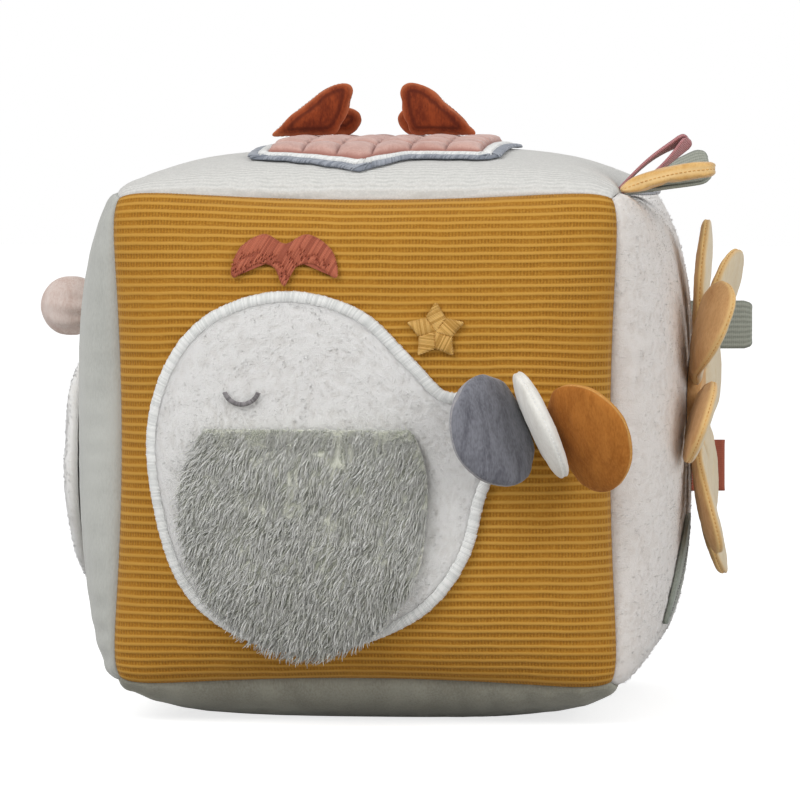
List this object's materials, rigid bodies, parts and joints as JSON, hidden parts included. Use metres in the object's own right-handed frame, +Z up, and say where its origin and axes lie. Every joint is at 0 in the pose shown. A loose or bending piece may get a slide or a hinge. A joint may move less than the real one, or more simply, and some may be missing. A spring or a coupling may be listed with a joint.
{
  "type": "soft fabric activity block",
  "caption": "Stuffed fabric baby block with crowned sewn panels, a lift flap, padded petals, ears and tail tabs, and ribbon tabs in its seams.",
  "frame": {"origin": "middle of the flat that the block rests on, under the cube's middle", "axes": "+Z up, -Y out of the ribbed front panel, +X out of the flower panel"},
  "size_m": [0.2133, 0.2083, 0.1872],
  "materials": {
    "sage_velour": "short-pile velour",
    "grey_blue_stitch": "embroidered thread",
    "sage_grosgrain": "ribbed ribbon",
    "terracotta_velour": "short-pile velour",
    "white_fleece": "curly fleece",
    "peach_velour": "short-pile velour",
    "ochre_rib_knit": "horizontally ribbed cotton knit",
    "gold_satin_stitch": "embroidered thread",
    "pale_grey_tape": "woven tape",
    "pale_pink_velour": "short-pile velour",
    "dusty_pink_velour": "short-pile velour",
    "pink_ribbon": "woven ribbon",
    "sage_plush": "long-pile plush",
    "white_satin_stitch": "dense satin stitch",
    "rattle_plastic": "smooth moulded plastic",
    "teddy_fleece": "curly teddy fleece",
    "rust_satin_stitch": "embroidered thread",
    "fibre_filling": "loose polyester fibre",
    "grey_blue_velour": "short-pile velour",
    "white_velour": "short-pile velour",
    "ochre_brown_velour": "short-pile velour",
    "off_white_fine_rib": "fine horizontal rib",
    "yellow_velour": "short-pile velour"
  },
  "bodies": {
    "block": {"back_panel": "sage_velour", "blue_stitched_band": "grey_blue_stitch", "bottom_panel": "sage_velour", "fleece_applique": "white_fleece", "flower_centre": "peach_velour", "front_panel": "ochre_rib_knit", "gold_stitched_patch": "gold_satin_stitch", "left_panel": "sage_velour", "pink_quilt_patch": "dusty_pink_velour", "quilt_border": "white_satin_stitch", "rattle_case_lower": "rattle_plastic", "rattle_case_upper": "rattle_plastic", "right_panel": "teddy_fleece", "rust_stitched_patch": "rust_satin_stitch", "sage_leaf_patch": "sage_grosgrain", "satin_border": "white_satin_stitch", "side_fleece_patch": "white_fleece", "stuffing_lower": "fibre_filling", "stuffing_upper": "fibre_filling", "top_panel": "off_white_fine_rib"},
    "plush_flap_body": {"plush_flap": "sage_plush"},
    "tail_pad_left_body": {"tail_pad_left": "grey_blue_velour"},
    "tail_pad_middle_body": {"tail_pad_middle": "white_velour"},
    "tail_pad_right_body": {"tail_pad_right": "ochre_brown_velour"},
    "ear_left_body": {"ear_left": "terracotta_velour"},
    "ear_right_body": {"ear_right": "terracotta_velour"},
    "ear_lobe_left_body": {"ear_lobe_left": "terracotta_velour"},
    "ear_lobe_right_body": {"ear_lobe_right": "terracotta_velour"},
    "yellow_tab_body": {"yellow_tab": "yellow_velour"},
    "pink_ribbon_loop_body": {"pink_ribbon_loop": "pink_ribbon"},
    "corner_ribbon_tab_body": {"corner_ribbon_tab": "sage_grosgrain"},
    "pale_tab_body": {"pale_tab": "pale_grey_tape"},
    "side_ribbon_tab_body": {"side_ribbon_tab": "sage_grosgrain"},
    "terracotta_label_body": {"terracotta_label": "terracotta_velour"},
    "pink_nub_body": {"pink_nub": "pale_pink_velour"},
    "petal_1_body": {"petal_1": "peach_velour"},
    "petal_2_body": {"petal_2": "peach_velour"},
    "petal_3_body": {"petal_3": "peach_velour"},
    "petal_4_body": {"petal_4": "peach_velour"},
    "petal_5_body": {"petal_5": "peach_velour"},
    "petal_6_body": {"petal_6": "peach_velour"},
    "petal_7_body": {"petal_7": "peach_velour"},
    "petal_8_body": {"petal_8": "peach_velour"},
    "rattle_ball_body": {"rattle_ball": "rattle_plastic"}
  },
  "joints": [
    {"name": "plush_flap_bend", "type": "hinge", "parent": "block", "child": "plush_flap_body", "pos_m": [-0.015, -0.09315, 0.08728], "axis": [-1, 0, 0], "range_deg": [0, 100], "stiffness_Nm_per_rad": 0.001},
    {"name": "tail_pad_left_bend", "type": "hinge", "parent": "block", "child": "tail_pad_left_body", "pos_m": [0.04656, -0.08854, 0.0917], "axis": [-0.4051, -0.0886, 0.9099], "range_deg": [-2, 8], "stiffness_Nm_per_rad": 0.001},
    {"name": "tail_pad_middle_bend", "type": "hinge", "parent": "block", "child": "tail_pad_middle_body", "pos_m": [0.05131, -0.0875, 0.08987], "axis": [-0.4051, -0.0886, 0.9099], "range_deg": [-5, 5], "stiffness_Nm_per_rad": 0.001},
    {"name": "tail_pad_right_bend", "type": "hinge", "parent": "block", "child": "tail_pad_right_body", "pos_m": [0.05828, -0.08561, 0.08305], "axis": [-0.4051, -0.0886, 0.9099], "range_deg": [-6, 8], "stiffness_Nm_per_rad": 0.001},
    {"name": "ear_left_bend", "type": "hinge", "parent": "block", "child": "ear_left_body", "pos_m": [-0.02737, 0.00452, 0.17121], "axis": [0.9994, 0, 0.0339], "range_deg": [-8, 25], "stiffness_Nm_per_rad": 0.001},
    {"name": "ear_right_bend", "type": "hinge", "parent": "block", "child": "ear_right_body", "pos_m": [0.0161, 0.00452, 0.17145], "axis": [0.9999, 0, -0.0114], "range_deg": [-8, 25], "stiffness_Nm_per_rad": 0.001},
    {"name": "ear_lobe_left_bend", "type": "hinge", "parent": "block", "child": "ear_lobe_left_body", "pos_m": [-0.01685, 0.01576, 0.17152], "axis": [0.9999, 0, 0.0125], "range_deg": [-16, 8], "stiffness_Nm_per_rad": 0.001},
    {"name": "ear_lobe_right_bend", "type": "hinge", "parent": "block", "child": "ear_lobe_right_body", "pos_m": [0.00677, 0.01576, 0.17159], "axis": [1, 0, -0.002], "range_deg": [-16, 8], "stiffness_Nm_per_rad": 0.001},
    {"name": "yellow_tab_bend", "type": "hinge", "parent": "block", "child": "yellow_tab_body", "pos_m": [0.0735, -0.05243, 0.15577], "axis": [0, -1, 0], "range_deg": [-8, 40], "stiffness_Nm_per_rad": 0.001},
    {"name": "pink_ribbon_loop_bend", "type": "hinge", "parent": "block", "child": "pink_ribbon_loop_body", "pos_m": [0.07231, -0.0375, 0.15536], "axis": [0, -1, 0], "range_deg": [-15, 12], "stiffness_Nm_per_rad": 0.001},
    {"name": "corner_ribbon_tab_bend", "type": "hinge", "parent": "block", "child": "corner_ribbon_tab_body", "pos_m": [0.07211, -0.02325, 0.15502], "axis": [0, -1, 0], "range_deg": [-8, 40], "stiffness_Nm_per_rad": 0.001},
    {"name": "pale_tab_bend", "type": "hinge", "parent": "block", "child": "pale_tab_body", "pos_m": [0.07212, 0.0045, 0.15476], "axis": [0, -1, 0], "range_deg": [-5, 30], "stiffness_Nm_per_rad": 0.001},
    {"name": "side_ribbon_tab_bend", "type": "hinge", "parent": "block", "child": "side_ribbon_tab_body", "pos_m": [0.07245, 0.07366, 0.1119], "axis": [0, 0, 1], "range_deg": [-5, 50], "stiffness_Nm_per_rad": 0.001},
    {"name": "terracotta_label_bend", "type": "hinge", "parent": "block", "child": "terracotta_label_body", "pos_m": [0.07205, 0.0733, 0.06766], "axis": [0, 0, 1], "range_deg": [-5, 50], "stiffness_Nm_per_rad": 0.001},
    {"name": "pink_nub_bend", "type": "hinge", "parent": "block", "child": "pink_nub_body", "pos_m": [-0.08952, 0, 0.11898], "axis": [0, 1, 0], "range_deg": [-8, 8], "stiffness_Nm_per_rad": 0.001},
    {"name": "petal_1_bend", "type": "hinge", "parent": "block", "child": "petal_1_body", "pos_m": [0.09358, -0.00189, 0.10591], "axis": [-0.0007, 0.9903, 0.1392], "range_deg": [-2, 18], "stiffness_Nm_per_rad": 0.001},
    {"name": "petal_2_bend", "type": "hinge", "parent": "block", "child": "petal_2_body", "pos_m": [0.09361, -0.01086, 0.10063], "axis": [-0.0042, 0.6018, 0.7986], "range_deg": [-2, 18], "stiffness_Nm_per_rad": 0.001},
    {"name": "petal_3_bend", "type": "hinge", "parent": "block", "child": "petal_3_body", "pos_m": [0.09366, -0.01347, 0.09055], "axis": [0.3353, -0.0954, 0.9373], "range_deg": [-2, 18], "stiffness_Nm_per_rad": 0.001},
    {"name": "petal_4_bend", "type": "hinge", "parent": "block", "child": "petal_4_body", "pos_m": [0.0937, -0.00818, 0.08159], "axis": [-0.0031, -0.7986, 0.6018], "range_deg": [-2, 18], "stiffness_Nm_per_rad": 0.001},
    {"name": "petal_5_bend", "type": "hinge", "parent": "block", "child": "petal_5_body", "pos_m": [0.09372, 0.00189, 0.07898], "axis": [0.0007, -0.9903, -0.1392], "range_deg": [-2, 18], "stiffness_Nm_per_rad": 0.001},
    {"name": "petal_6_bend", "type": "hinge", "parent": "block", "child": "petal_6_body", "pos_m": [0.09369, 0.01086, 0.08426], "axis": [0.0042, -0.6018, -0.7986], "range_deg": [-2, 18], "stiffness_Nm_per_rad": 0.001},
    {"name": "petal_7_bend", "type": "hinge", "parent": "block", "child": "petal_7_body", "pos_m": [0.09364, 0.01347, 0.09434], "axis": [0.0052, 0.1392, -0.9903], "range_deg": [-2, 18], "stiffness_Nm_per_rad": 0.001},
    {"name": "petal_8_bend", "type": "hinge", "parent": "block", "child": "petal_8_body", "pos_m": [0.09359, 0.00818, 0.10331], "axis": [0.0031, 0.7986, -0.6018], "range_deg": [-2, 18], "stiffness_Nm_per_rad": 0.001},
    {"name": "rattle_ball_fall", "type": "slide", "parent": "block", "child": "rattle_ball_body", "axis": [0, 0, 1], "range_m": [0, 0.0202]}
  ]
}
